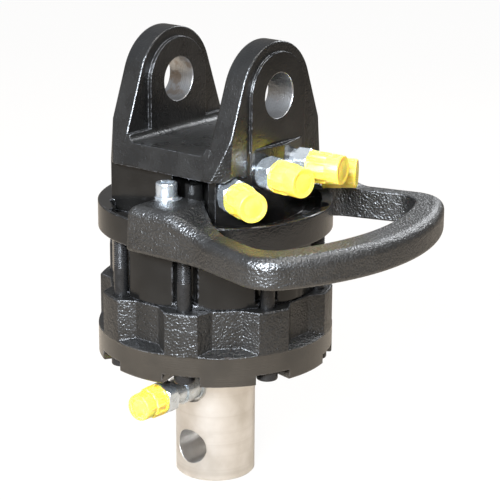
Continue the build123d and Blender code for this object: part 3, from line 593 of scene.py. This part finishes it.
def guard_seat(tree, place):
    """Mask of the turned seats, and the distance from the axis of the nearer screw."""
    at = xyz(tree, place)
    radius = from_axis(tree, maths(tree, "SUBTRACT", at["X"], guard_screw_x),
                       maths(tree, "SUBTRACT", maths(tree, "ABSOLUTE", at["Y"]), guard_screw_y), 0.0)
    return times(tree, ramp(tree, radius, guard_seat_radius + guard_seat_edge, guard_seat_radius),
                 ramp(tree, at["Z"], lug_top_from, lug_top_to)), radius


def guard_cast_share(tree, place):
    """Rough all over but for the turned seats on the lugs."""
    return maths(tree, "SUBTRACT", 1.0, times(tree, guard_seat(tree, place)[0], 0.97))


def guard_bare(tree, place):
    """Thin grey paint over the turning marks of the seats."""
    seat, radius = guard_seat(tree, place)
    marks = used(tree, turning_marks, {"Distance": radius, "Pitch": 0.0003})["Mark"]
    return times(tree, seat, ramp(tree, marks, 0.3, 0.7, 0.35, 0.55)), seat_grey


guard_paint = painted("guard_paint", guard_cast_share, guard_bare,
                      edge=0.0024, depth=0.00060, grain=0.0015, gloss=1.0)
dress(cad["hose_guard"], guard_paint)

# Guard screws: two M12 socket screws with a flange, plated in bright zinc, one through each lug.
# They are put in from above and clamp the guard to the head's flange.

screw_head_height = 0.0135
screw_flange_radius = 0.0099
screw_flange_height = 0.0018
screw_thread_length = 0.022
zinc_bright = (0.68, 0.73, 0.78)
zinc_dull = (0.52, 0.56, 0.58)
zinc_speck = (0.34, 0.35, 0.34)
zinc, tree, shader, place = material("zinc", Metallic=0.88, Specular_IOR_Level=0.6)
frost = ramp(tree, noise(tree, place, 0.0016, 3.0), 0.60, 0.72)
patch = noise(tree, place, 0.009, 3.0)
plating = mixed(tree, ramp(tree, patch, 0.3, 0.7), zinc_bright, zinc_dull)
feed(tree, shader, {"Base Color": mixed(tree, frost, plating, zinc_speck),
                    "Roughness": ramp(tree, patch, 0.2, 0.8, 0.18, 0.30)})

screw_low, screw_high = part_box("guard_screws")
screw_seat = screw_high[2] - screw_head_height
screw_head = lathe(socket_head(screw_head_height, 0.0, screw_flange_radius, screw_flange_height), head_facets)
screw_tip = screw_seat - screw_low[2] + shank_root
screw_shank = lathe(threaded_shank(screw_tip, screw_thread_length), shank_facets)
screw_parts = []
for side in (-1, 1):
    stand = Matrix.Translation((guard_screw_x, side * guard_screw_y, screw_seat))
    screw_parts += [(screw_head, stand),
                    (screw_shank, stand @ upside_down @ Matrix.Translation((0, 0, -shank_root)))]
screws = piece("guard_screws_knurled", screw_parts)
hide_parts("guard_screws")
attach(screws, "housing")
dress(screws, zinc)

# Port fittings: steel adaptors with 27 mm hexagons on bonded seal washers, all plated in zinc.
# Four are screwed into the head's flats and two into the spot faces of the shaft.

for name in ("port_adaptors", "port_seals", "lower_adaptors", "lower_seals"):
    dress(cad[name], zinc)

# Dust caps: soft yellow moulded plastic, pushed over the adaptors' noses by hand.
# The open half has grip ribs; the closed half is smooth and ends in a shallow moulded ring.

upper_cap_radii = (0.0138, 0.0124)
lower_cap_radii = (0.0134, 0.0114)
upper_cap_length = 0.0290
lower_cap_length = 0.0250
upper_cap_start = 0.0155
lower_cap_start = 0.0470
cap_bore_radius = 0.0103
cap_end_wall = 0.0030
cap_ribbed_share = 0.52
cap_rib_count = 12
cap_rib_depth = 0.0011
cap_dish = 0.0004
cap_round = 0.0003
cap_step = 0.0012
cap_draft = 0.0001
cap_rim = 0.0010
cap_lip_to = 0.0016
cap_ribs_from = 0.0022
cap_bore_chamfer = 0.0004
cap_facets = 140
# Each kind of port: angle of its axis in degrees, distance and sideways offset of its flat, level.
outer_port = (29.0, 0.0745, 0.0159, -0.075)
middle_port = (10.9, 0.0714, 0.0054, -0.061)
lower_port = (90.0, 0.0305, 0.0, -0.2584)
yellow_deep = (0.70, 0.515, 0.062)
yellow_pale = (0.73, 0.555, 0.090)
yellow_scuffed = (0.82, 0.70, 0.26)


def ribbed(cap_radius):
    """Radius of the ribbed half of a cap at each angle."""
    def radius(angle):
        wave = 0.5 + 0.5 * cos(cap_rib_count * angle)
        return cap_radius - cap_rib_depth * (1 - wave ** 3)
    return radius


def dust_cap(length, base, end):
    """Cap along Z with its open end at zero, tapering between its two radii."""
    half = length * cap_ribbed_share
    closed_end = [(length - cap_dish, 0), (length - cap_dish, end * 0.60),
                  (length - 1.5 * cap_dish, end * 0.64), (length - cap_dish, end * 0.68),
                  (length - 0.5 * cap_dish, end * 0.86), (length, end - cap_rim),
                  (length - cap_dish, end - cap_round), (length - cap_step, end)]
    ribs = [(half + 2 * cap_step, end + cap_round), (half + cap_step, ribbed(end + 2 * cap_round)),
            (half, ribbed(base - cap_round)), (half * 0.5, ribbed(base - cap_draft)),
            (cap_ribs_from, ribbed(base))]
    open_end = [(cap_lip_to, base - 2 * cap_draft), (cap_step, base),
                (cap_round, base), (0.0, base - cap_round)]
    bore = [(0.0, cap_bore_radius + cap_round), (cap_bore_chamfer, cap_bore_radius),
            (length - cap_end_wall, cap_bore_radius), (length - cap_end_wall, 0)]
    return lathe(closed_end + ribs + open_end + bore, cap_facets)


def on_port(port, side, start):
    """Where a cap made along Z sits on a port to one side, a given way out from the port's flat."""
    angle, distance, offset, level = port
    return (Matrix.Translation((0, 0, level)) @ Matrix.Rotation(radians(side * angle), 4, "Z")
            @ Matrix.Translation((distance, side * offset, 0)) @ Matrix.Rotation(pi / 2, 4, "Y")
            @ Matrix.Translation((0, 0, start)))


yellow_plastic, tree, shader, place = material("yellow_plastic", Specular_IOR_Level=0.5,
                                               Subsurface_Weight=0.7, Subsurface_Scale=0.006,
                                               Subsurface_Radius=(1.0, 0.45, 0.05))
haze = noise(tree, place, 0.009, 4.0)
scuff = ramp(tree, noise(tree, place, 0.0009, 3.0), 0.58, 0.72)
moulded = mixed(tree, ramp(tree, haze, 0.3, 0.7), yellow_deep, yellow_pale)
feed(tree, shader, {"Base Color": mixed(tree, times(tree, scuff, 0.25), moulded, yellow_scuffed),
                    "Roughness": ramp(tree, haze, 0.2, 0.8, 0.34, 0.48),
                    "Normal": used(tree, rounded_edge, {"Radius": 0.0006})["Normal"]})

for name, ports, start, length, radii, body in (
        ("port_caps", (outer_port, middle_port), upper_cap_start, upper_cap_length, upper_cap_radii,
         "housing"),
        ("lower_caps", (lower_port,), lower_cap_start, lower_cap_length, lower_cap_radii, "rotor")):
    cap = dust_cap(length, *radii)
    caps = piece(name + "_ribbed", [(cap, on_port(port, side, start)) for port in ports for side in (-1, 1)])
    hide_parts(name)
    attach(caps, body)
    dress(caps, yellow_plastic)

# Floor: a plain pale sheet under the shaft's end, which is not part of the object.
# The camera sees it white with the object's faint shadow; every other ray sees its warm tan.

floor_reach = 6.0
floor_tan = (0.37, 0.31, 0.245, 1)
floor_glow = 1.10
floor_white_share = 0.86
floor_mesh = bpy.data.meshes.new("floor")
floor_mesh.from_pydata([(x * floor_reach, y * floor_reach, cad_low.z)
                        for x, y in ((-1, -1), (1, -1), (1, 1), (-1, 1))], [], [(0, 1, 2, 3)])
floor = bpy.data.objects.new("floor", floor_mesh)
bpy.context.scene.collection.objects.link(floor)
floor_sheet, tree, shader, place = material("floor", Base_Color=floor_tan, Roughness=0.9,
                                            Specular_IOR_Level=0.1)
seen = add(tree, "ShaderNodeLightPath", {}).outputs["Is Camera Ray"]
glow = add(tree, "ShaderNodeEmission", {"Color": (1, 1, 1, 1), "Strength": floor_glow})
blend = add(tree, "ShaderNodeMixShader", {"Fac": times(tree, seen, floor_white_share),
                                          1: shader.outputs[0], 2: glow.outputs[0]})
feed(tree, tree.nodes["Material Output"], {"Surface": blend.outputs[0]})
floor_mesh.materials.append(floor_sheet)

# Room: pale studio walls, bright towards the front left and dim behind, warm at the horizon and
# cooler above. The camera and rays through clear things see plain white, and mirrors a little of it.

room_front = (-0.52, -0.85, 0.10)
room_warm = (0.92, 0.80, 0.66)
room_cool = (0.72, 0.77, 0.84)
room_dim, room_bright = 0.13, 0.47
room_overhead = 0.24
room_mirrored_white = 0.12
world = bpy.data.worlds.new("studio")
bpy.context.scene.world = world
world.use_nodes = True
tree = world.node_tree
path = add(tree, "ShaderNodeLightPath", {}).outputs
direction = add(tree, "ShaderNodeTexCoord", {}).outputs["Generated"]
upward = xyz(tree, direction)["Z"]
heading = add(tree, "ShaderNodeVectorMath", {0: direction, 1: room_front}, operation="DOT_PRODUCT")
lit = ramp(tree, heading.outputs["Value"], -0.3, 0.95, room_dim, room_bright)
overhead = ramp(tree, upward, 0.05, 0.9, 0.0, room_overhead)
walls = tree.nodes["Background"]
feed(tree, walls, {"Color": mixed(tree, ramp(tree, upward, 0.0, 0.6), room_warm, room_cool),
                   "Strength": plus(tree, lit, overhead)})
white = add(tree, "ShaderNodeBackground", {"Color": (1, 1, 1, 1), "Strength": 1.0})
share = maths(tree, "ADD", times(tree, path["Is Glossy Ray"], room_mirrored_white),
              maths(tree, "MAXIMUM", path["Is Camera Ray"], path["Is Transmission Ray"]), clamp=True)
blend = add(tree, "ShaderNodeMixShader", {"Fac": share, 1: walls.outputs[0], 2: white.outputs[0]})
feed(tree, tree.nodes["World Output"], {"Surface": blend.outputs[0]})

# Lamps: a wide cool softbox at the camera's left, and weaker ones above the object, behind it and
# at its right. A row gives a lamp's place, size, power in watts, colour and spread in degrees.

lamp_aim = Vector((0.02, 0, -0.12))
for name, place, size, power, tint, spread in (
        ("key", (0.62, -1.70, 0.80), (1.30, 0.50), 35.0, (0.84, 0.91, 1.0), 70),
        ("top", (0.6, 0.1, 1.9), (1.1, 1.1), 12.5, (1.0, 0.98, 0.95), 120),
        ("back", (-0.1, 1.8, 1.0), (1.1, 0.6), 9.0, (0.94, 0.97, 1.0), 110),
        ("right", (1.9, 0.1, 0.8), (0.5, 0.5), 2.0, (1.0, 0.96, 0.90), 120)):
    lamp = bpy.data.lights.new(name, "AREA")
    lamp.shape = "RECTANGLE"
    lamp.size, lamp.size_y = size
    lamp.energy = power
    lamp.color = tint
    lamp.spread = radians(spread)
    holder = bpy.data.objects.new(name, lamp)
    holder.location = place
    holder.rotation_euler = (lamp_aim - Vector(place)).to_track_quat("-Z", "Y").to_euler()
    bpy.context.scene.collection.objects.link(holder)

# Camera: a long lens about a metre and a half away, to the front right and a little above,
# at the place and turn that the photograph was taken from.

lens_length = 134.357
eye_place = (0.96660, -1.19187, 0.32031)
eye_turn = (73.1533, -0.3924, 38.0600)
camera = bpy.data.cameras.new("camera")
camera.lens = lens_length
camera.sensor_width = 36.0
eye = bpy.data.objects.new("camera", camera)
eye.location = eye_place
eye.rotation_euler = [radians(turn) for turn in eye_turn]
bpy.context.scene.collection.objects.link(eye)
bpy.context.scene.camera = eye
bpy.context.scene.view_settings.view_transform = "Standard"
